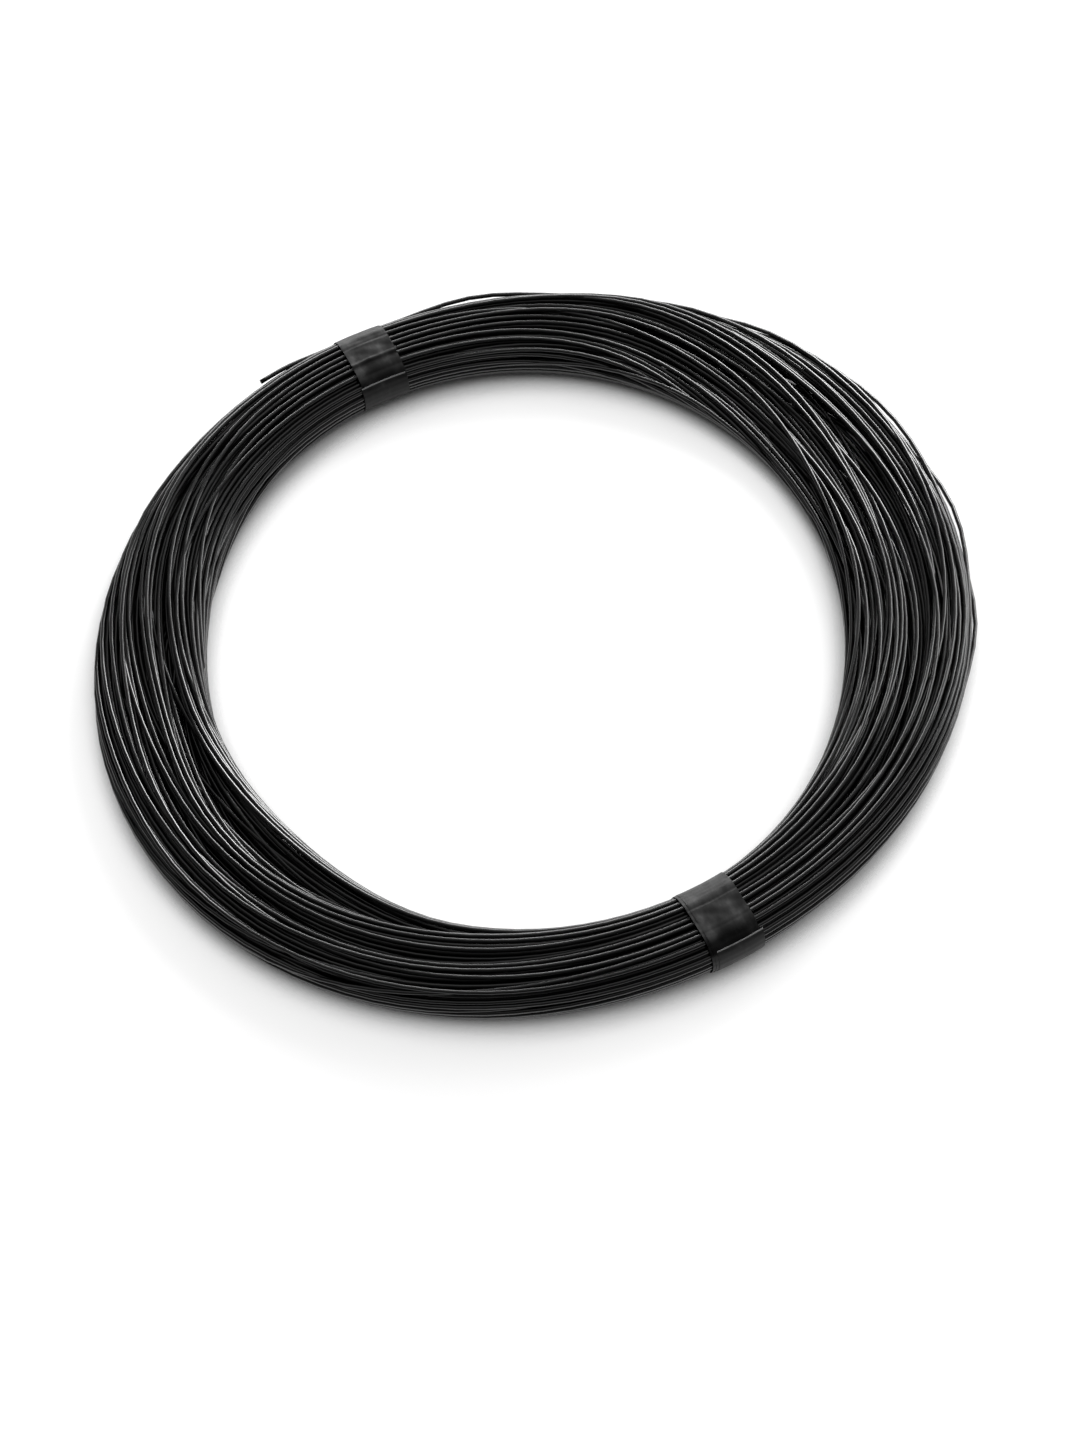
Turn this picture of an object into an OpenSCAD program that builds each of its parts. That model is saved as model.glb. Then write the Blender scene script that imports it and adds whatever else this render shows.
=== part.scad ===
// Coil of plastic-coated tension wire, lying flat and bound with tape at two places.
// The turns are drawn as one ring that has a ridge for each turn on its outside.
// The coil's axis is Z, the floor is z = 0, and the two fans open along about 28 and 208 degrees.

/* [Wire] */
// Diameter over the plastic coating
wire_d = 1.8; // [1.2:0.1:2.6]
// Spacing of the outermost turns under a tie, in wire diameters
lay_spacing = 1.35; // [1.1:0.05:1.5]
// Depth of the groove between two turns, in wire diameters
groove_share = 0.35; // [0.1:0.05:0.5]

/* [Coil] */
// Outside diameter across the fans
outside_d = 341; // [330:1:420]
// How much further the right fan reaches out than the left one
fan_lead = 6.5; // [0:0.5:12]
// Outside diameter across the two ties
tied_outside_d = 309; // [300:1:326]
// Width of the bundle under a tie, across the ring
tied_w = 30; // [26:1:34]
// Height of the bundle under a tie
tied_h = 22; // [18:1:24]
// Width of the fan on the right, across the ring
right_fan_w = 52; // [40:1:60]
// Width of the fan on the left, across the ring
left_fan_w = 44; // [40:1:60]
// Height of the bundle in the middle of a fan
fan_h = 16; // [12:1:22]

/* [Ties] */
// Direction of the rear tie, seen from the coil's middle
rear_tie_angle = 117; // [100:1:130]
// Direction of the front tie
front_tie_angle = 299; // [280:1:310]
// Width of the tape
tape_w = 19; // [12:1:25]
// Thickness of one layer of tape
tape_t = 0.15; // [0.1:0.05:0.25]
// Whole layers of tape round the bundle
tape_layers = 2; // [2:1:4]
// Room between the tape and the turns
tape_gap = 0.1; // [0.1:0.05:0.3]

/* [Free end] */
// Length of the wire's end that stands off the bundle
end_length = 34; // [15:1:60]
// Room between the tip and the bundle
end_lift = 0.7; // [0.5:0.1:4]
// Height of the free end on the bundle's outside, as an angle above its middle
end_rise = 25; // [0:1:60]

/* [Hidden] */
// Steps of the ring along each fan, and steps round a band of tape
fan_steps = 20;
tape_steps = 48;
// Powers that move a fan's fullest place along it, from one tie to the next: that of its outer edge is past
// the middle, and that of its width is before it
edge_skew = 1.08;
width_skew = 0.93;
// Shares of a band's outline that the step over its covered start takes, and the step at its cut end
start_step = 0.012;
cut_step = 0.004;
// Places of a band's start and cut end on the outline, from the bottom's inner edge, and the layers that
// are added from the one to the other: the rear band ends short of its start, the front one laps over it
rear_start = 0.59;
rear_cut = 0.705;
rear_change = -1;
front_start = 0.14;
front_cut = 0.39;
front_change = 1;
// Rings and sides of the free end
end_steps = 8;
end_sides = 8;
// Places of a turn's groove and of its crown's two edges, as shares of the spacing
ridge_places = [0, 0.3, 0.7];
// Turns that the lay moves on by in one trip round the coil
lay_shift = 1;
// Steepness with which the bundle comes down to the floor beside a tie
settle_rate = 4;

tied_outer_r = tied_outside_d / 2;
tied_middle_r = tied_outer_r - tied_w / 2;
tie_lift = tape_layers * tape_t + tape_gap;
groove = groove_share * wire_d;
tied_outline = 2 * (tied_w - tied_h) + PI * tied_h;
ridges = round(tied_outline / (lay_spacing * wire_d));
ring_points = ridges * len(ridge_places);

// Angle between 0 and 360
function wrapped(angle) = angle - 360 * floor(angle / 360);

// True on the left fan, which runs from the rear tie to the front one
left_arc = wrapped(front_tie_angle - rear_tie_angle);
function on_left(t) = wrapped(t - rear_tie_angle) < left_arc;

// 0 at a tie and 1 where a fan is fullest, which is its middle unless a skew moves it
function fan_share(t, skew = 1) =
    let (past = wrapped(t - rear_tie_angle))
    let (along = on_left(t) ? past / left_arc : (past - left_arc) / (360 - left_arc))
    pow(sin(180 * pow(along, skew)), 2);

// Half of the angle that the tape's width takes up at a radius, which is largest in the bore
function tape_reach(r) = tape_w / 2 / r * 180 / PI;
tape_half_angle = tape_reach(tied_outer_r - tied_w);

// Share reached at the edges of the tape, where the bundle is still level
tape_edge_share = max([for (tie = [rear_tie_angle, front_tie_angle], side = [-1, 1])
    fan_share(tie + side * tape_half_angle)]);

// Edges, height and underside of the bundle at a direction
function fan_reach(t) = (outside_d - tied_outside_d + (on_left(t) ? -fan_lead : fan_lead)) / 2;
function outer_r(t) = tied_outer_r + fan_reach(t) * fan_share(t, edge_skew);
function bundle_w(t) =
    tied_w + ((on_left(t) ? left_fan_w : right_fan_w) - tied_w) * fan_share(t, width_skew);
function bundle_h(t) = tied_h + (fan_h - tied_h) * fan_share(t);
function underside(t) =
    tie_lift * max(0, 1 - settle_rate * max(0, fan_share(t) - tape_edge_share));

// Point of an oval with flat top and bottom, at a share of its outline, moved outwards
function oval_point(w, h, share, out) =
    let (flat = w - h, bend = PI * h / 2, r = h / 2 + out)
    let (along = (share - floor(share)) * 2 * (flat + bend))
    along < flat ? [along - flat / 2, -r]
    : along < flat + bend ? bend_point(flat / 2, r, (along - flat) / bend * 180 - 90)
    : along < 2 * flat + bend ? [flat * 1.5 + bend - along, r]
    : bend_point(-flat / 2, r, (along - 2 * flat - bend) / bend * 180 + 90);
function bend_point(middle, r, angle) = [middle + r * cos(angle), r * sin(angle)];

// Point on the bundle's outside in space
function bundle_point(t, share, out) =
    let (w = bundle_w(t), h = bundle_h(t))
    let (p = oval_point(w, h, share, out))
    in_space(t, outer_r(t) - w / 2 + p[0], underside(t) + h / 2 + p[1]);

// Directions of the ring's stations: each tie's middle, then the fan after it
function fan_stations(from, arc) =
    let (step = (arc - 2 * tape_half_angle) / fan_steps)
    [from, for (i = [0 : fan_steps]) from + tape_half_angle + i * step];
stations = concat(fan_stations(rear_tie_angle, left_arc),
                  fan_stations(front_tie_angle, 360 - left_arc));

// Middle of the coil's outside, seen from the point that the directions start from; it is the origin
function middle_of(values) = (max(values) + min(values)) / 2;
coil_middle = [middle_of([for (t = stations) outer_r(t) * cos(t)]),
               middle_of([for (t = stations) outer_r(t) * sin(t)])];
function in_space(t, r, up) = [r * cos(t) - coil_middle[0], r * sin(t) - coil_middle[1], up];

// Corners of the quad between two loops of points, as two triangles
function quad(a, b, c, d) = [[a, b, c], [a, c, d]];

module coil_ring() {
    last = len(stations) - 1;
    points = [for (t = stations, k = [0 : ring_points - 1])
        let (turn = floor(k / len(ridge_places)), place = ridge_places[k % len(ridge_places)])
        let (moved = lay_shift * wrapped(t - rear_tie_angle) / 360)
        bundle_point(t, (turn + place + moved) / ridges, place == 0 ? -groove : 0)];
    closing = lay_shift * len(ridge_places);
    faces = [for (i = [0 : last], k = [0 : ring_points - 1])
        let (next = (k + 1) % ring_points, shift = i == last ? closing : 0)
        let (here = i * ring_points, there = (i == last ? 0 : i + 1) * ring_points)
        each quad(here + k, here + next, there + (next + shift) % ring_points,
                  there + (k + shift) % ring_points)];
    polyhedron(points, faces);
}

// Shares of the outline where a band has points: from its start to its cut end, and then on to its start
function evenly(from, to) =
    let (steps = max(1, round((to - from) * tape_steps)))
    [for (i = [0 : steps]) from + (to - from) * i / steps];
function band_shares(start, cut) =
    concat(evenly(start + start_step, cut), evenly(cut + cut_step, start + 1));

// Point of a band at a share of its outline, at one of its edges or between them
function band_point(angle, side, share, out) =
    let (p = oval_point(tied_w, tied_h, share, out))
    bundle_point(angle + side * tape_reach(tied_middle_r + p[0]), share, out);

module tape_band(angle, start, cut, change) {
    shares = band_shares(start, cut);
    sides = [-1, 0, 1];
    n = len(shares);
    last = len(sides) - 1;
    layers = [for (s = shares) tape_layers + (s < cut + cut_step / 2 ? change : 0)];
    points = concat(
        [for (side = sides, i = [0 : n - 1])
            band_point(angle, side, shares[i], tape_gap + tape_t * layers[i])],
        [for (side = sides, s = shares) band_point(angle, side, s, tape_gap)]);
    inner = len(sides) * n;
    end = last * n;
    faces = concat(
        [for (j = [0 : last - 1], i = [0 : n - 1]) let (a = j * n, next = (i + 1) % n)
            each quad(a + i, a + next, a + n + next, a + n + i)],
        [for (j = [0 : last - 1], i = [0 : n - 1]) let (a = inner + j * n, next = (i + 1) % n)
            each quad(a + i, a + n + i, a + n + next, a + next)],
        [for (i = [0 : n - 1]) let (next = (i + 1) % n)
            each quad(i, inner + i, inner + next, next)],
        [for (i = [0 : n - 1]) let (next = (i + 1) % n)
            each quad(end + i, end + next, inner + end + next, inner + end + i)]);
    polyhedron(points, faces);
}

module free_end() {
    leaving_r = tied_outer_r - tied_h / 2 * (1 - cos(end_rise));
    from = rear_tie_angle + tape_reach(leaving_r) + tape_gap / leaving_r * 180 / PI;
    sweep = end_length / tied_outer_r * 180 / PI;
    points = [for (i = [0 : end_steps], k = [0 : end_sides - 1])
        let (t = from + sweep * i / end_steps, w = bundle_w(t), h = bundle_h(t))
        let (off = h / 2 + wire_d / 2 + tape_gap + end_lift * pow(i / end_steps, 2))
        let (side = k * 360 / end_sides)
        in_space(t, outer_r(t) - h / 2 + off * cos(end_rise) + wire_d / 2 * cos(side),
                 underside(t) + h / 2 + off * sin(end_rise) + wire_d / 2 * sin(side))];
    n = end_sides;
    tip = end_steps * n;
    faces = concat(
        [for (i = [0 : end_steps - 1], k = [0 : n - 1]) let (a = i * n, next = (k + 1) % n)
            each quad(a + k, a + next, a + n + next, a + n + k)],
        [[for (k = [0 : n - 1]) n - 1 - k], [for (k = [0 : n - 1]) tip + k]]);
    polyhedron(points, faces);
}

module wire_coil() {
    color([0.02, 0.02, 0.02]) coil_ring();
}

module wire_end() {
    color([0.02, 0.02, 0.02]) free_end();
}

module tape_rear() {
    color([0.05, 0.05, 0.055]) tape_band(rear_tie_angle, rear_start, rear_cut, rear_change);
}

module tape_front() {
    color([0.05, 0.05, 0.055]) tape_band(front_tie_angle, front_start, front_cut, front_change);
}

wire_coil();
wire_end();
tape_rear();
tape_front();
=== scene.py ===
"""Dresses the coil of tension wire: every turn of the wire, its free end and the two bands of tape."""
import math

import bpy
import numpy as np
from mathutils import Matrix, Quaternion, Vector


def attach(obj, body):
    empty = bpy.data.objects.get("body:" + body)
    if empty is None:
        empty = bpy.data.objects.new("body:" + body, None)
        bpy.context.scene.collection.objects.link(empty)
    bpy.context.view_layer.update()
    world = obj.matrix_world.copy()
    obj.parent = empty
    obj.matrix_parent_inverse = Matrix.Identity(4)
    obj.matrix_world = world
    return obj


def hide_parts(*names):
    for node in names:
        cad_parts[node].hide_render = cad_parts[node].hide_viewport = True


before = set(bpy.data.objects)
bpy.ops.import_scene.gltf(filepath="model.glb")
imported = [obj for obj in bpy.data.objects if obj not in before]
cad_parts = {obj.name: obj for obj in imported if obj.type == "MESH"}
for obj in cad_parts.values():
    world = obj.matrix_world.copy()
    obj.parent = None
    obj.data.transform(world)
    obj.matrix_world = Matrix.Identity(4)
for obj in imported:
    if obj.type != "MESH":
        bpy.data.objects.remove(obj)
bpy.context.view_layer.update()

# Driving sizes, repeated from the part's source, in metres and degrees
WIRE_D = 0.0018
OUTSIDE_D = 0.341
FAN_LEAD = 0.0065
TIED_OUTSIDE_D = 0.309
TIED_W = 0.030
TIED_H = 0.022
RIGHT_FAN_W = 0.052
LEFT_FAN_W = 0.044
FAN_H = 0.016
EDGE_SKEW = 1.08
WIDTH_SKEW = 0.93
REAR_TIE = 117.0
FRONT_TIE = 299.0
TAPE_W = 0.019
TAPE_T = 0.00015
TAPE_LAYERS = 2
TAPE_GAP = 0.0001
REAR_START = 0.59
REAR_CUT = 0.705
FRONT_START = 0.14
FRONT_CUT = 0.39
END_LENGTH = 0.034
END_LIFT = 0.0007
END_RISE = 25.0
SETTLE_RATE = 4.0

# Values worked out from them
WIRE_R = WIRE_D / 2
TIED_OUTER_R = TIED_OUTSIDE_D / 2
TIED_MIDDLE_R = TIED_OUTER_R - TIED_W / 2
TIED_FLAT = TIED_W - TIED_H
TIED_BEND = math.pi * TIED_H / 2
TIED_OUTLINE = 2 * (TIED_FLAT + TIED_BEND)
TIE_LIFT = TAPE_LAYERS * TAPE_T + TAPE_GAP
TAPE_HALF_ANGLE = math.degrees(TAPE_W / 2 / (TIED_OUTER_R - TIED_W))
LEFT_ARC = FRONT_TIE - REAR_TIE
RIGHT_ARC = 360.0 - LEFT_ARC
END_SHARE = (TIED_FLAT + TIED_BEND * (90.0 + END_RISE) / 180.0) / TIED_OUTLINE

# How steeply the camera looks down
CAMERA_TILT = math.radians(60.0)

rng = np.random.default_rng(seed=7)


# Shape of the bundle, the same as in the part's source

# Step in which the coil's outline is searched for its farthest points, in degrees
OUTLINE_STEP = 0.5


def smooth(x):
    """Goes from 0 to 1 with level ends."""
    x = np.clip(x, 0.0, 1.0)
    return x * x * (3 - 2 * x)


def past_rear_tie(angle):
    """Angle from the rear tie to a direction."""
    return np.mod(np.asarray(angle, float) - REAR_TIE, 360.0)


def on_left(angle):
    """True on the left fan, which runs from the rear tie to the front one."""
    return past_rear_tie(angle) < LEFT_ARC


def fan_share(angle, skew=1.0):
    """0 at a tie and 1 where a fan is fullest, which is its middle unless a skew moves it."""
    past = past_rear_tie(angle)
    along = np.where(past < LEFT_ARC, past / LEFT_ARC, np.maximum(0, past - LEFT_ARC) / RIGHT_ARC)
    return np.sin(np.pi * along ** skew) ** 2


def bundle_w(angle):
    """Width of the bundle across the ring."""
    fan_w = np.where(on_left(angle), LEFT_FAN_W, RIGHT_FAN_W)
    return TIED_W + (fan_w - TIED_W) * fan_share(angle, WIDTH_SKEW)


def bundle_h(angle):
    """Height of the bundle."""
    return TIED_H + (FAN_H - TIED_H) * fan_share(angle)


def outer_r(angle):
    """Radius of the bundle's outer edge."""
    lead = np.where(on_left(angle), -FAN_LEAD, FAN_LEAD)
    return TIED_OUTER_R + (OUTSIDE_D - TIED_OUTSIDE_D + lead) / 2 * fan_share(angle, EDGE_SKEW)


def middle_r(angle):
    """Radius of the bundle's middle."""
    return outer_r(angle) - bundle_w(angle) / 2


def underside(angle):
    """Height of the bundle's underside, which the tape lifts off the floor at a tie."""
    level = fan_share(REAR_TIE - TAPE_HALF_ANGLE)
    return TIE_LIFT * np.maximum(0, 1 - SETTLE_RATE * np.maximum(0, fan_share(angle) - level))


def oval_point(w, h, share, out):
    """Point of an oval with flat top and bottom, at a share of its outline, moved outwards."""
    flat = w - h
    bend = np.pi * h / 2
    r = h / 2 + out
    along = np.mod(share, 1.0) * 2 * (flat + bend)
    outer = np.pi * (along - flat) / bend - np.pi / 2
    inner = np.pi * (along - 2 * flat - bend) / bend + np.pi / 2
    stretch = [along < flat, along < flat + bend, along < 2 * flat + bend]
    across = [along - flat / 2, flat / 2 + r * np.cos(outer), 1.5 * flat + bend - along]
    up = [-r, r * np.sin(outer), r]
    return (np.select(stretch, across, -flat / 2 + r * np.cos(inner)),
            np.select(stretch, up, r * np.sin(inner)))


def coil_middle():
    """Middle of the coil's outside, seen from the point that the directions start from; it is the origin."""
    angle = np.arange(0, 360, OUTLINE_STEP)
    x = outer_r(angle) * np.cos(np.radians(angle))
    y = outer_r(angle) * np.sin(np.radians(angle))
    return (x.max() + x.min()) / 2, (y.max() + y.min()) / 2


MIDDLE_X, MIDDLE_Y = coil_middle()


def in_space(angle, across, up):
    """Point at a place of the bundle's section: across it from its middle, and up from the floor."""
    r = middle_r(angle) + across
    a = np.radians(angle)
    return np.stack(np.broadcast_arrays(r * np.cos(a) - MIDDLE_X, r * np.sin(a) - MIDDLE_Y, up), -1)


# Route of the wire: every turn has a slot under each tie, and the bundle rolls over between the ties

# Points of the wire in one turn
STATIONS = 100
# Spacing of the slots: along the outline on the bundle's outside and inside it, and from layer to layer
OUTSIDE_SPACING = 1.36 * WIRE_D
INSIDE_SPACING = 1.15 * WIRE_D
LAYER_SPACING = 0.97 * WIRE_D
# Disorder of the slots: along the outline as a share of their spacing, and inwards
SLOT_JITTER = 0.25
DEPTH_JITTER = 0.3 * WIRE_D
# How much deeper the turns below the outermost layer lie in a fan
DEEPER_IN_FAN = 0.45 * WIRE_D
# Places by which a turn strays from the order of winding
ORDER_SPREAD = 2.4
# The roll from the rear tie to the front one: how far, as a share of the outline, the share of it that the
# core lags behind, where on the way it starts and ends, and how much that differs from turn to turn
ROLL = 0.27
ROLL_LAG = 0.5
ROLL_FROM = 0.14
ROLL_TO = 0.5
ROLL_SPREAD = 0.03
# Sway of a turn between the ties: as a share of the outline, in depth, and its fewest and most half waves
SHARE_WANDER = 0.022
DEPTH_WANDER = 0.35 * WIRE_D
WANDER_WAVES = (1.0, 2.2)


def tie_slots():
    """Places under a tie from the core outwards: depth below the outline, and share of the outline."""
    slots = []
    depth = WIRE_R
    spacing = OUTSIDE_SPACING
    while depth < TIED_H / 2 - WIRE_R / 2:
        count = round((TIED_OUTLINE - 2 * math.pi * depth) / spacing)
        slots = [(depth, END_SHARE + (i + 1) / count, 1 / count) for i in range(count)] + slots
        depth += LAYER_SPACING
        spacing = INSIDE_SPACING
    slots = np.array(slots)
    slots[:-1, 0] += rng.exponential(DEPTH_JITTER, len(slots) - 1)
    slots[:-1, 1] += rng.normal(0, SLOT_JITTER, len(slots) - 1) * slots[:-1, 2]
    return slots[:, :2]


def rolled(slots):
    """The same slots at the front tie, where the bundle has rolled over, the outside most."""
    lag = ROLL_LAG * slots[:, 0] / (TIED_H / 2)
    return np.stack([slots[:, 0], slots[:, 1] + ROLL * (1 - lag)], -1)


def shuffled(count):
    """The numbers below count, each moved by a few places."""
    return np.argsort(np.arange(count) + rng.normal(0, ORDER_SPREAD, count))


def wander(u, turns):
    """A slow random sway for every turn, at stations a share u of the way between two ties."""
    size = rng.normal(0, 1, turns)
    phase = rng.uniform(0, 2 * np.pi, turns)
    waves = rng.uniform(*WANDER_WAVES, turns)
    return size * np.sin(np.pi * waves * u + phase)


def turn_courses(u, left, fan):
    """Share of the outline and depth below it of every turn; the last slot is the free end's."""
    slots = tie_slots()
    turns = len(slots) - 1
    rear = slots[np.append(shuffled(turns), turns)]
    front = rolled(slots[shuffled(turns)])
    rear_depth = np.where(left, rear[:-1, 0], rear[1:, 0])
    rear_share = np.where(left, rear[:-1, 1], rear[1:, 1])
    late = rng.normal(0, ROLL_SPREAD, turns)
    roll = smooth((u - ROLL_FROM - late) / (ROLL_TO - ROLL_FROM))
    rest = np.mod(front[:, 1] - rear_share - ROLL + 0.5, 1.0) - 0.5
    share = rear_share + ROLL * roll + rest * smooth(u) + fan * SHARE_WANDER * wander(u, turns)
    depth = rear_depth + (front[:, 0] - rear_depth) * smooth(u) + fan * DEPTH_WANDER * wander(u, turns)
    depth += fan * DEEPER_IN_FAN * smooth((depth - WIRE_R) / LAYER_SPACING)
    return share, depth


# The long gap on the left: its ends as shares of the arc, its half width, how many half widths away it
# still moves turns, its depth in layers, and how fast it opens above the middle of the bundle's height
GAP_FROM = 0.42
GAP_TO = 0.78
GAP_HALF = 0.0065
GAP_REACH = 3.0
GAP_LAYERS = 3.5
GAP_OPENING = 4.0
# Its course: where on the arc it lies furthest in, how far in, as a share of the width, and its bend
GAP_INMOST_AT = 0.7
GAP_INMOST = 0.38
GAP_BEND = 5.5


def parted(u, w, across, on_top):
    """Moves the upper turns on the left apart, where the photo shows a long gap between them."""
    middle = w * (GAP_BEND * (u - GAP_INMOST_AT) ** 2 - GAP_INMOST)
    half = GAP_HALF * np.sin(np.pi * np.clip((u - GAP_FROM) / (GAP_TO - GAP_FROM), 0, 1))
    away = across - middle
    halfway = np.argmin(np.abs(u - (GAP_FROM + GAP_TO) / 2))
    side = np.sign(away[halfway])
    near = np.clip(1 - np.abs(away) / (GAP_REACH * GAP_HALF), 0, 1)
    return across + on_top * half * near * side


# Share of its height that each fan loses at its low edge: on the right the inner one, beside the turns
# that climb over the others, and on the left the outer one
RIGHT_DROP = 0.65
LEFT_DROP = 0.25
# The low part of the right fan: where it starts and stops narrowing, on the way from the rear tie to the
# front one, and the share of the fan's width that it narrows to
NARROWS_FROM = 0.1
NARROWS_TO = 0.6
NARROWED = 0.15
# Place across the left fan where its low part starts
LEFT_LOW_FROM = 0.4


def drop(u, left, place):
    """Share of its height that a fan loses at a place across it: 0 is its inner edge, 1 its outer one."""
    wide = 1 - smooth((u - NARROWS_FROM) / (NARROWS_TO - NARROWS_FROM))
    climbing_from = NARROWED + (1 - NARROWED) * wide
    right_drop = RIGHT_DROP * np.clip(1 - place / climbing_from, 0, 1)
    left_drop = LEFT_DROP * smooth((place - LEFT_LOW_FROM) / (1 - LEFT_LOW_FROM))
    return np.where(left, left_drop, right_drop)


def route_targets(angles):
    """Wished-for place of every turn at every station: across the bundle and up from the floor."""
    past = past_rear_tie(angles)
    left = on_left(angles)[:, None]
    u = np.where(past < LEFT_ARC, past / LEFT_ARC, 1 - (past - LEFT_ARC) / RIGHT_ARC)[:, None]
    fan = fan_share(angles)[:, None]
    w = bundle_w(angles)[:, None]
    h = bundle_h(angles)[:, None]
    share, depth = turn_courses(u, left, fan)
    across, up = oval_point(w, h, share, -np.maximum(depth, 0) * h / TIED_H)
    shallow = smooth((WIRE_R + GAP_LAYERS * LAYER_SPACING - depth) / LAYER_SPACING)
    on_top = shallow * smooth(GAP_OPENING * up / h)
    across = np.where(left, parted(np.where(left, u, 0), w, across, on_top), across)
    height = (up + h / 2) * (1 - fan * drop(u, left, across / w + 0.5))
    return across, height + underside(angles)[:, None]


# Settling of the turns: its steps, the share of an overlap that a step takes away, the furthest that it
# pushes a turn, and how far it then pulls turns back to their wished-for places and straightens them
SETTLE_STEPS = 120
PUSH_SHARE = 0.45
PUSH_LIMIT = 0.6 * WIRE_R
PULL_BACK = 0.03
STRAIGHTEN = 0.15
# Steps after it that only straighten the turns, and how far
EASE_STEPS = 6
EASE = 0.5
# Lengths added to what is divided by, so that it is never zero
TINY_GAP = 1e-9
TINY_MOVE = 1e-12


def between_neighbours(p):
    """Middle between the points before and after on the wire, which runs on from turn to turn."""
    before = np.roll(p, 1, axis=0)
    before[0, 1:] = p[-1, :-1]
    after = np.roll(p, -1, axis=0)
    after[-1, :-1] = p[0, 1:]
    return (before + after) / 2


def held_inside(angles, p):
    """Keeps the turns inside the bundle's outline and above the floor."""
    h = bundle_h(angles)[:, None]
    flat = (bundle_w(angles)[:, None] - h) / 2
    base = underside(angles)[:, None] + h / 2
    foot = np.clip(p[..., 0], -flat, flat)
    out = np.stack([p[..., 0] - foot, p[..., 1] - base], -1)
    far = np.linalg.norm(out, axis=-1) + TINY_GAP
    out *= np.minimum(1, (h / 2 - WIRE_R) / far)[..., None]
    return np.stack([foot + out[..., 0], base + out[..., 1]], -1)


def pushed_apart(p):
    """How far each turn is pushed away from those that it overlaps."""
    same = np.eye(p.shape[1], dtype=bool)[None]
    du = p[:, :, None, 0] - p[:, None, :, 0]
    dv = p[:, :, None, 1] - p[:, None, :, 1]
    far = np.sqrt(du * du + dv * dv) + TINY_GAP
    push = np.where(same, 0, np.clip(WIRE_D - far, 0, None)) / far * PUSH_SHARE
    move = np.stack([(push * du).sum(2), (push * dv).sum(2)], -1)
    size = np.linalg.norm(move, axis=-1, keepdims=True) + TINY_MOVE
    return move * np.minimum(1, PUSH_LIMIT / size)


def settle(angles, across, up):
    """Pushes turns that overlap apart, keeps each one smooth, and keeps them inside the bundle."""
    wished = np.stack([across, up], -1)
    p = wished.copy()
    for _ in range(SETTLE_STEPS):
        p += pushed_apart(p)
        p += PULL_BACK * (wished - p)
        p += STRAIGHTEN * (between_neighbours(p) - p)
        p = held_inside(angles, p)
    for _ in range(EASE_STEPS):
        p += EASE * (between_neighbours(p) - p)
    return held_inside(angles, p)


# Filling of the bundle: stations on each side that its stretch is evened out over, and which turn, counted
# from the outermost, is to reach the edge
FILL_EASE = 4
FILL_RANK = 3


def filled(angles, p):
    """Stretches the turns across the bundle, so that the outermost few reach its two edges."""
    ease = np.ones(2 * FILL_EASE + 1) / (2 * FILL_EASE + 1)
    for side in (-1, 1):
        reach = np.sort(side * p[..., 0], axis=1)[:, -FILL_RANK]
        stretch = (bundle_w(angles) / 2 - WIRE_R) / reach
        stretch = np.convolve(np.pad(stretch, FILL_EASE, mode="wrap"), ease, "valid")[:, None]
        p[..., 0] *= np.where(side * p[..., 0] > 0, stretch, 1)
    return held_inside(angles, p)


# The place on the left where the innermost turns swing into the bore: its direction, half of its stretch
# in degrees, and how far
BULGE_AT = 227.0
BULGE_HALF = 34.0
BULGE = 0.0042
# Turns that stand away from the bundle: direction, half of the stretch in degrees, and how far
STRAYS = ((98.5, 14.0, 0.0030), (57.0, 16.0, 0.0021), (20.0, 15.0, 0.0030), (2.0, 12.0, 0.0019),
          (38.0, 22.0, 0.0028), (46.0, 20.0, 0.0018))


def angle_from(angles, middle):
    """Angle from a direction, between -180 and 180 degrees."""
    return np.mod(angles - middle + 180, 360) - 180


def hump(away, half):
    """1 in the middle of a stretch, and 0 at its ends and beyond them."""
    return np.where(np.abs(away) < half, np.cos(np.pi / 2 * away / half) ** 2, 0)


def add_bulge(angles, p):
    """Lets the innermost turns on the left swing into the bore, where the photo shows them do so."""
    inwards = smooth(-2 * p[..., 0] / bundle_w(angles)[:, None])
    p[..., 0] -= BULGE * hump(angle_from(angles, BULGE_AT), BULGE_HALF)[:, None] * inwards


def add_strays(angles, p):
    """Lets the turn on the outline, as seen from the front and above, stand away at a few places."""
    taken = []
    for angle, half, far in STRAYS:
        away = angle_from(angles, angle)
        row = p[np.argmin(np.abs(away))]
        seen = row[:, 0] + row[:, 1] * math.sin(math.radians(angle)) / math.tan(CAMERA_TILT)
        turn = next(i for i in np.argsort(-seen) if i not in taken)
        taken.append(turn)
        p[:, turn, 0] += hump(away, half) * far


# Points of the free end, and how fast it comes clear of the bundle past the tape
END_POINTS = 14
END_CLEARING = 1.3


def free_end():
    """The wire's last stretch, which leaves the rear tie on the outside and stands off the bundle."""
    rise = math.radians(END_RISE)
    leaving_r = TIED_OUTER_R - TIED_H / 2 * (1 - math.cos(rise))
    tape_edge = math.degrees(TAPE_W / 2 / leaving_r)
    tip = tape_edge + math.degrees(END_LENGTH / TIED_OUTER_R)
    steps = np.linspace(0, tip, END_POINTS)
    angle = REAR_TIE + steps
    clear = np.maximum(0, (steps - tape_edge) / (tip - tape_edge))
    out = -WIRE_R + WIRE_D * smooth(END_CLEARING * clear) + END_LIFT * clear ** 3
    h = bundle_h(angle)
    across = bundle_w(angle) / 2 - h / 2 + (h / 2 + out) * math.cos(rise)
    return in_space(angle, across, underside(angle) + h / 2 + (h / 2 + out) * math.sin(rise))


def turns_under(tie, p):
    """Places of the turns under a tie and just beside it."""
    station = round(float(past_rear_tie(tie)) * STATIONS / 360)
    return np.concatenate([p[station - 1], p[station], p[station + 1]])


# Meshes

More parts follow.
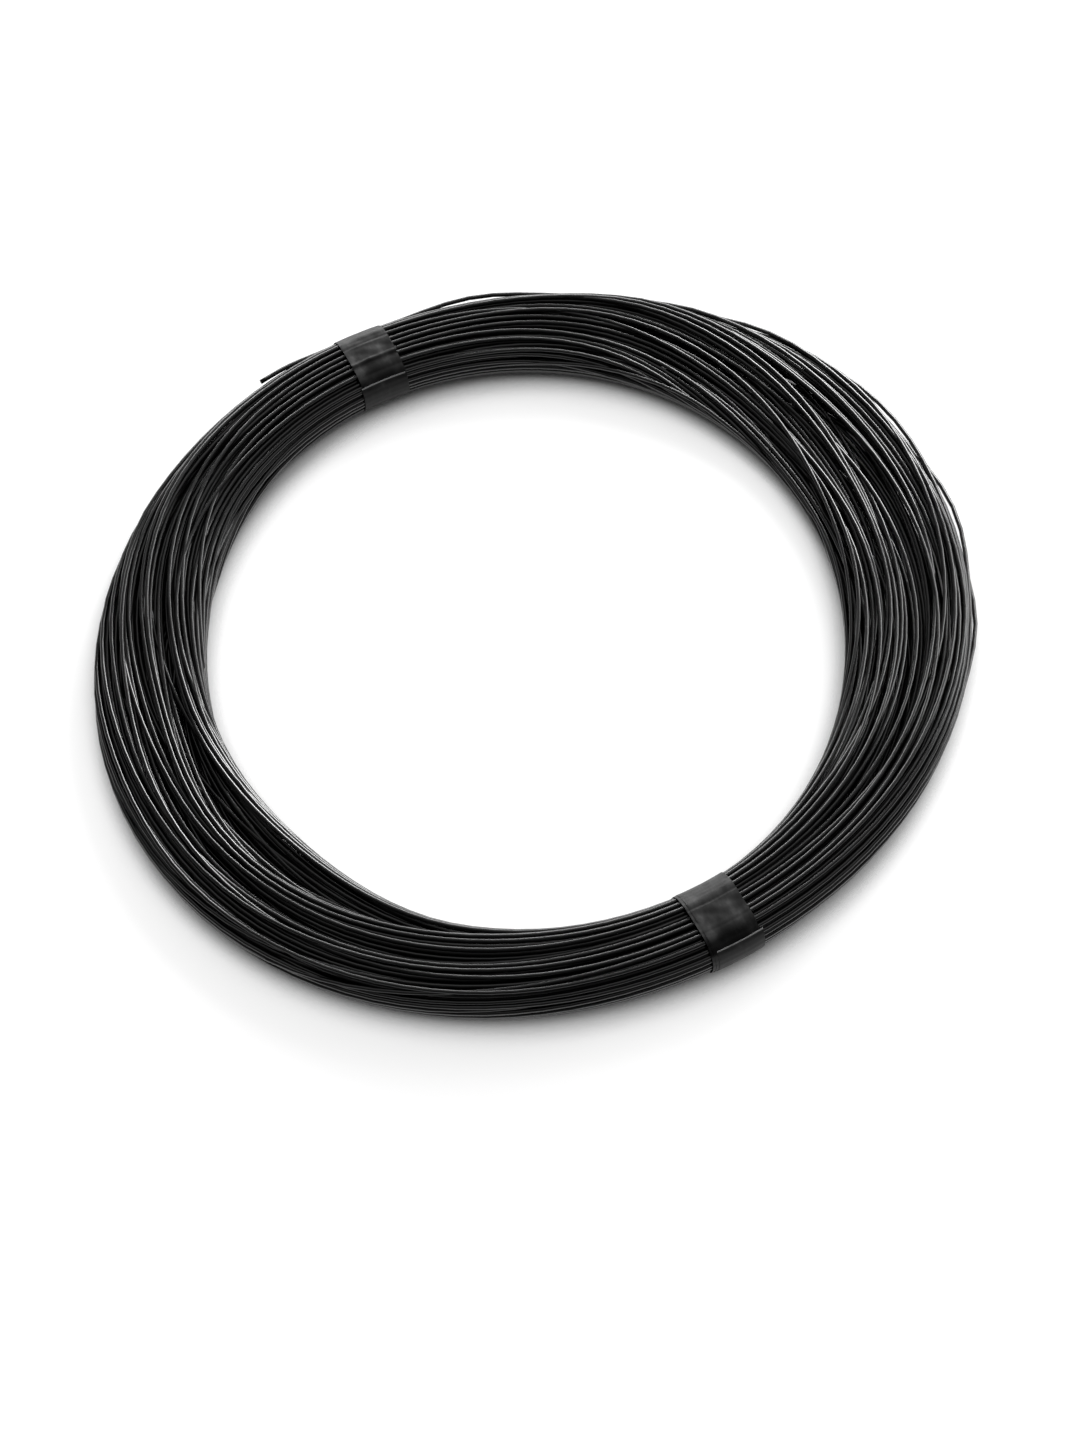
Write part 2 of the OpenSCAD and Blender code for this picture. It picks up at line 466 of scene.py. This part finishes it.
# Sides of the wire
SIDES = 6
# Edges sharper than this, in degrees, stay sharp on a strip
SHARP_EDGE = 50.0
# UV maps, in metres along a piece: of the wire, and of a strip of tape
WIRE_UV = "along_and_round"
TAPE_UV = "to_end_and_across"


def new_mesh(name, points, faces, material):
    mesh = bpy.data.meshes.new(name)
    mesh.from_pydata(np.asarray(points).tolist(), [], faces)
    mesh.polygons.foreach_set("use_smooth", [True] * len(mesh.polygons))
    mesh.materials.append(material)
    mesh.update()
    obj = bpy.data.objects.new(name, mesh)
    bpy.context.scene.collection.objects.link(obj)
    return obj


def add_uv(obj, name, uv):
    layer = obj.data.uv_layers.new(name=name)
    layer.data.foreach_set("uv", np.asarray(uv, float).ravel())


def tube_points(path, radius):
    """Rings of points round a path, which never runs straight up."""
    ahead = np.gradient(path, axis=0)
    ahead /= np.linalg.norm(ahead, axis=1, keepdims=True)
    side = np.cross([0.0, 0.0, 1.0], ahead)
    side /= np.linalg.norm(side, axis=1, keepdims=True)
    top = np.cross(ahead, side)
    turn = 2 * np.pi * (np.arange(SIDES) + 0.5) / SIDES
    girth = np.cos(turn)[None, :, None] * side[:, None] + np.sin(turn)[None, :, None] * top[:, None]
    return (path[:, None] + radius * girth).reshape(-1, 3)


def tube_uv(path):
    """Length along a path and share of the girth, for each corner of a tube's faces."""
    length = np.concatenate([[0], np.cumsum(np.linalg.norm(np.diff(path, axis=0), axis=1))])
    start = np.repeat(length[:-1], SIDES)
    end = np.repeat(length[1:], SIDES)
    here = np.tile(np.arange(SIDES), len(path) - 1) / SIDES
    there = here + 1 / SIDES
    corners = [np.stack(corner, -1) for corner in ((start, here), (start, there), (end, there), (end, here))]
    caps = np.zeros((2 * SIDES, 2))
    return np.concatenate([np.stack(corners, 1).reshape(-1, 2), caps])


def tube(name, path, radius, material):
    """A round wire along a path, closed at both ends, with its length and its girth as a UV map."""
    last = len(path) - 1
    k = np.arange(SIDES)
    first = np.arange(last)[:, None] * SIDES
    here = first + k
    there = first + (k + 1) % SIDES
    faces = np.stack([here, there, there + SIDES, here + SIDES], -1).reshape(-1, 4).tolist()
    faces.append(k[::-1].tolist())
    faces.append((last * SIDES + k).tolist())
    obj = new_mesh(name, tube_points(path, radius), faces, material)
    add_uv(obj, WIRE_UV, tube_uv(path))
    return obj


def strip_solid(name, outer, inner, length, width, material):
    """A closed strip between two grids of points, with the way to its end and its width as a UV map."""
    n, m = outer.shape[:2]
    points = np.concatenate([outer.reshape(-1, 3), inner.reshape(-1, 3)])
    top = np.arange(n * m).reshape(n, m)
    low = top + n * m
    to_end = np.linspace(length, 0, n)
    wide = np.linspace(0, width, m)
    faces = []
    uv = []

    def add(corners, places):
        faces.append([int(c) for c in corners])
        uv.extend((to_end[i], wide[j]) for i, j in places)

    for i in range(n - 1):
        for j in range(m - 1):
            places = [(i, j), (i + 1, j), (i + 1, j + 1), (i, j + 1)]
            add([top[p] for p in places], places)
            add([low[p] for p in places[::-1]], places[::-1])
    border = [(i, 0) for i in range(n)] + [(n - 1, j) for j in range(1, m)]
    border += [(i, m - 1) for i in range(n - 2, -1, -1)] + [(0, j) for j in range(m - 2, 0, -1)]
    for a, b in zip(border, border[1:] + border[:1]):
        add([top[b], top[a], low[a], low[b]], [b, a, a, b])
    obj = new_mesh(name, points, faces, material)
    obj.data.set_sharp_from_angle(angle=math.radians(SHARP_EDGE))
    add_uv(obj, TAPE_UV, uv)
    return obj


# Bands of tape: each is one strip, wound about twice round the bundle

# Points of a strip in one trip round the bundle, and across its width
TAPE_POINTS = 200
TAPE_ROWS = 13
# Share of a trip in which a strip climbs onto its own start
LAP_SLOPE = 0.006
# The cut end stands up: over which share of a trip, and how far
LIP_SHARE = 0.008
LIP_RISE = 0.00045
# The ridge over the covered start: its half width as a share of a trip, and its height
RIDGE_SHARE = 0.008
RIDGE_RISE = 0.00025
# Creases: their height, their waves, as half waves in a trip and slant across the tape, the height of the
# second pair of waves beside the first, and the shares of the outline between which they lie, on top
CREASE = 0.00014
CREASE_WAVES = ((9, 2.2), (5, -1.6), (23, 3.1), (4, 0.0))
FINE_CREASE = 0.6
CREASED_FROM = 0.25
CREASED_TO = 0.75
# Each band by its CAD node: its tie, where it starts and is cut, the way it runs round the bundle, and how
# far it drifts sideways in a trip
BANDS = {
    "tape_rear": {"tie": REAR_TIE, "start": REAR_START, "cut": REAR_CUT, "way": -1, "drift": 0.0004},
    "tape_front": {"tie": FRONT_TIE, "start": FRONT_START, "cut": FRONT_CUT, "way": 1, "drift": 0.0012},
}


def drawn_tight(share, turns):
    """How far out from the bundle's outline a band lies when drawn tight; below 0 is inside it."""
    foot = np.stack(oval_point(TIED_W, TIED_H, share, -TIED_H / 2), -1)
    out = (np.stack(oval_point(TIED_W, TIED_H, share, 0.0), -1) - foot) / (TIED_H / 2)
    turns = turns - [0, TIE_LIFT + TIED_H / 2]
    reach = ((turns[None] - foot) * out).sum(-1).max(axis=1)
    return (reach + WIRE_R - TIED_H / 2)[:, None]


def creases(share, wide):
    """Height of the creases on the top of a band."""
    phases = rng.uniform(0, 2 * np.pi, len(CREASE_WAVES))
    waves = [np.sin(count * np.pi * share + slant * wide + phase)
             for (count, slant), phase in zip(CREASE_WAVES, phases)]
    crease = CREASE * (waves[0] * waves[1] + FINE_CREASE * waves[2] * waves[3])
    along_top = np.clip((np.mod(share, 1.0) - CREASED_FROM) / (CREASED_TO - CREASED_FROM), 0, 1)
    return np.sin(np.pi * along_top) ** 2 * np.abs(crease)


def tape_strip(name, tie, start, cut, way, drift, turns, material):
    """A strip that starts at a share of the outline and runs one way round the bundle to its cut end."""
    wraps = TAPE_LAYERS + way * (cut - start)
    along = np.linspace(0, wraps, round(wraps * TAPE_POINTS))[:, None]
    wide = np.linspace(-1, 1, TAPE_ROWS)[None]
    share = start + way * along
    whole = np.floor(along)
    layer = whole + smooth((along - whole - 1 + LAP_SLOPE) / LAP_SLOPE)
    lip = LIP_RISE * smooth((along - wraps + LIP_SHARE) / LIP_SHARE)
    ridge = RIDGE_RISE * np.exp(-((along - 1) / RIDGE_SHARE) ** 2)
    under = TAPE_GAP + drawn_tight(share, turns) + TAPE_T * layer + creases(share, wide) + lip + ridge
    sheets = []
    for out in (under + TAPE_T, under):
        across, up = oval_point(TIED_W, TIED_H, share, out)
        sideways = TAPE_W / 2 * wide + drift * (along - wraps / 2)
        angle = tie + np.degrees(sideways / (TIED_MIDDLE_R + across))
        sheets.append(in_space(angle, across, np.maximum(0, up + TIED_H / 2 + TIE_LIFT)))
    outer, inner = sheets if way < 0 else (sheets[0][:, ::-1], sheets[1][:, ::-1])
    return strip_solid(name, outer, inner, wraps * TIED_OUTLINE, TAPE_W, material)


# Materials

# Turns metres into millimetres
MILLIMETRES = 1000.0


def node_material(name):
    material = bpy.data.materials.new(name)
    material.use_nodes = True
    tree = material.node_tree
    return material, tree.nodes, tree.links, tree.nodes["Principled BSDF"]


def scaled_uv(nodes, links, uv_map, scale):
    uv = nodes.new("ShaderNodeUVMap")
    uv.uv_map = uv_map
    mapping = nodes.new("ShaderNodeMapping")
    mapping.inputs["Scale"].default_value = (*scale, 1)
    links.new(uv.outputs["UV"], mapping.inputs["Vector"])
    return mapping.outputs["Vector"]


def noise_on_uv(nodes, links, uv_map, scale, detail):
    """A noise that follows the piece, with its own scale along and across it."""
    noise = nodes.new("ShaderNodeTexNoise")
    noise.inputs["Scale"].default_value = 1.0
    noise.inputs["Detail"].default_value = detail
    links.new(scaled_uv(nodes, links, uv_map, scale), noise.inputs["Vector"])
    return noise.outputs["Fac"]


def ramp(nodes, links, value, stops):
    """Turns a value into a grey by stops of place and grey."""
    node = nodes.new("ShaderNodeValToRGB")
    elements = node.color_ramp.elements
    while len(elements) < len(stops):
        elements.new(0.5)
    for element, (place, grey) in zip(elements, stops):
        element.position = place
        element.color = (grey, grey, grey, 1)
    links.new(value, node.inputs["Fac"])
    return node.outputs["Color"]


def lighter_of(nodes, links, a, b):
    node = nodes.new("ShaderNodeMix")
    node.data_type = "RGBA"
    node.blend_type = "LIGHTEN"
    node.inputs["Factor"].default_value = 1.0
    colours = [socket for socket in node.inputs if socket.type == "RGBA"]
    links.new(a, colours[0])
    links.new(b, colours[1])
    return next(socket for socket in node.outputs if socket.type == "RGBA")


def bump(nodes, links, height, shader, distance, strength):
    node = nodes.new("ShaderNodeBump")
    node.inputs["Distance"].default_value = distance
    node.inputs["Strength"].default_value = strength
    links.new(height, node.inputs["Height"])
    links.new(node.outputs["Normal"], shader.inputs["Normal"])


def wire_coating():
    """Black plastic drawn over the wire: lengthwise streaks, and a duller finish where it was rubbed."""
    material, nodes, links, shader = node_material("wire_coating")
    streaks = noise_on_uv(nodes, links, WIRE_UV, scale=(14.0, 5.0), detail=3.0)
    colour = ramp(nodes, links, streaks, stops=((0.3, 0.002), (0.7, 0.006)))
    links.new(colour, shader.inputs["Base Color"])
    rubs = noise_on_uv(nodes, links, WIRE_UV, scale=(25.0, 3.0), detail=4.0)
    roughness = ramp(nodes, links, rubs, stops=((0.3, 0.2), (0.55, 0.26), (0.75, 0.36)))
    links.new(roughness, shader.inputs["Roughness"])
    dents = noise_on_uv(nodes, links, WIRE_UV, scale=(60.0, 2.0), detail=1.0)
    bump(nodes, links, dents, shader, distance=0.00005, strength=0.2)
    shader.inputs["Specular IOR Level"].default_value = 0.5
    shader.inputs["Coat Weight"].default_value = 0.3
    shader.inputs["Coat Roughness"].default_value = 0.1
    return material


def tape_film():
    """Black insulating tape: satin film, stretch marks, dull patches partly painted with sheen, a painted
    highlight at the cut end.
    """
    material, nodes, links, shader = node_material("tape")
    # The patches make the film paler and rougher at random; the paler colour partly paints the sheen of
    # crinkled film.
    dull_and_sheen_patches = noise_on_uv(nodes, links, TAPE_UV, scale=(90.0, 140.0), detail=3.0)
    film = ramp(nodes, links, dull_and_sheen_patches, stops=((0.4, 0.006), (0.55, 0.018), (0.68, 0.05)))
    to_end = nodes.new("ShaderNodeSeparateXYZ")
    links.new(scaled_uv(nodes, links, TAPE_UV, (MILLIMETRES, MILLIMETRES)), to_end.inputs["Vector"])
    # Pale colour near the cut end: a painted highlight, for the light that the cut edge catches.
    painted_cut_edge_highlight = ramp(nodes, links, to_end.outputs["X"], stops=((0.0, 0.45), (0.4, 0.38), (0.7, 0.0)))
    links.new(lighter_of(nodes, links, film, painted_cut_edge_highlight), shader.inputs["Base Color"])
    roughness = ramp(nodes, links, dull_and_sheen_patches, stops=((0.3, 0.34), (0.7, 0.56)))
    links.new(roughness, shader.inputs["Roughness"])
    shader.inputs["Specular IOR Level"].default_value = 0.2
    marks = noise_on_uv(nodes, links, TAPE_UV, scale=(120.0, 1200.0), detail=3.0)
    bump(nodes, links, marks, shader, distance=0.00005, strength=0.3)
    return material


# Build the pieces

angles = REAR_TIE + np.arange(STATIONS) * 360.0 / STATIONS
places = filled(angles, settle(angles, *route_targets(angles)))
add_bulge(angles, places)
add_strays(angles, places)
turns = in_space(angles[:, None], places[..., 0], places[..., 1]).transpose(1, 0, 2)
wire_path = np.concatenate([turns.reshape(-1, 3), free_end()])
wire = tube("tension_wire", wire_path, WIRE_R, wire_coating())
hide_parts("wire_coil", "wire_end")
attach(wire, "root")

film = tape_film()
for node, band in BANDS.items():
    strip = tape_strip(node + "_strip", **band, turns=turns_under(band["tie"], places), material=film)
    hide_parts(node)
    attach(strip, "root")


# Stage, light and camera

# Half of the floor's side, its own grey, the glow that makes it look white, and how near the coil it fades
FLOOR_HALF = 25.0
FLOOR_GREY = 0.4
FLOOR_GLOW = 0.85
SHADOW_REACH = 0.023
# The glow by how open the floor is: none under the coil, and all of it clear of the coil, so that its fall
# paints a shadow near the coil
GLOW_STOPS = ((0.34, 0.0), (0.5, 0.25), (0.64, 0.62), (0.82, FLOOR_GLOW))
# Camera: its distance from the point that it looks at, that point, its sensor in millimetres, and its focal
# length and the photo's height in pixels
CAMERA_FAR = 1.1273
CAMERA_AIM = (0.0028, -0.0342, 0.0)
SENSOR = 36.0
FOCAL_PIXELS = 3000
IMAGE_HEIGHT = 1448


def pale_floor():
    """Pale floor that looks white to the camera and in reflections, with a painted shadow under and close to
    the coil where its glow fades.
    """
    material, nodes, links, shader = node_material("floor")
    shader.inputs["Base Color"].default_value = (FLOOR_GREY, FLOOR_GREY, FLOOR_GREY, 1)
    shader.inputs["Roughness"].default_value = 0.9
    ray = nodes.new("ShaderNodeLightPath")
    seen = ray.outputs["Is Camera Ray"]
    for other in ("Is Glossy Ray", "Is Transmission Ray"):
        either = nodes.new("ShaderNodeMath")
        either.operation = "MAXIMUM"
        links.new(seen, either.inputs[0])
        links.new(ray.outputs[other], either.inputs[1])
        seen = either.outputs[0]
    links.new(seen, shader.inputs["Emission Strength"])
    # The glow fades where the coil hides the floor from the sky, which paints the coil's contact shadow on
    # top of the lamps' own.
    openness = nodes.new("ShaderNodeAmbientOcclusion")
    openness.samples = 4
    openness.inputs["Distance"].default_value = SHADOW_REACH
    glow_with_painted_shadow = ramp(nodes, links, openness.outputs["AO"], GLOW_STOPS)
    links.new(glow_with_painted_shadow, shader.inputs["Emission Color"])
    return material


def level_floor():
    """One square on the plane that the coil lies on."""
    corners = [(FLOOR_HALF * x, FLOOR_HALF * y, 0) for x, y in ((-1, -1), (1, -1), (1, 1), (-1, 1))]
    return new_mesh("floor", corners, [(0, 1, 2, 3)], pale_floor())


def softbox(name, place, size, roll, watts):
    """A lamp that points at the middle of the coil, rolled about its own axis."""
    data = bpy.data.lights.new(name, "AREA")
    data.shape = "RECTANGLE"
    data.size, data.size_y = size
    data.energy = watts
    lamp = bpy.data.objects.new(name, data)
    lamp.location = place
    lamp.rotation_mode = "QUATERNION"
    aim = Vector(place).to_track_quat("Z", "Y")
    lamp.rotation_quaternion = aim @ Quaternion((0, 0, 1), math.radians(roll))
    bpy.context.scene.collection.objects.link(lamp)


def white_world():
    """Weak white light from all sides."""
    world = bpy.data.worlds.new("world")
    world.use_nodes = True
    background = world.node_tree.nodes["Background"]
    background.inputs["Color"].default_value = (1, 1, 1, 1)
    background.inputs["Strength"].default_value = 0.08
    return world


def photo_camera():
    """Camera at the photo's viewing angle."""
    data = bpy.data.cameras.new("camera")
    data.sensor_fit = "VERTICAL"
    data.sensor_height = SENSOR
    data.lens = SENSOR * FOCAL_PIXELS / IMAGE_HEIGHT
    camera = bpy.data.objects.new("camera", data)
    camera.location = (CAMERA_AIM[0], CAMERA_AIM[1] - CAMERA_FAR * math.cos(CAMERA_TILT),
                       CAMERA_AIM[2] + CAMERA_FAR * math.sin(CAMERA_TILT))
    camera.rotation_euler = (math.pi / 2 - CAMERA_TILT, 0, 0)
    bpy.context.scene.collection.objects.link(camera)
    return camera


floor = level_floor()

softbox("overhead_softbox", place=(0.0, 0.3, 1.4), size=(1.6, 1.4), roll=0.0, watts=3.5)
softbox("back_right_strip", place=(0.673, 1.276, 0.559), size=(0.7, 0.84), roll=-17.7, watts=36.0)
softbox("right_strip", place=(1.277, 0.679, 0.555), size=(0.7, 0.7), roll=-17.7, watts=10.0)
softbox("back_window", place=(-0.1, 1.7, 0.45), size=(2.2, 0.5), roll=0.0, watts=36.0)

scene = bpy.context.scene
scene.world = white_world()
scene.view_settings.view_transform = "Standard"
scene.camera = photo_camera()
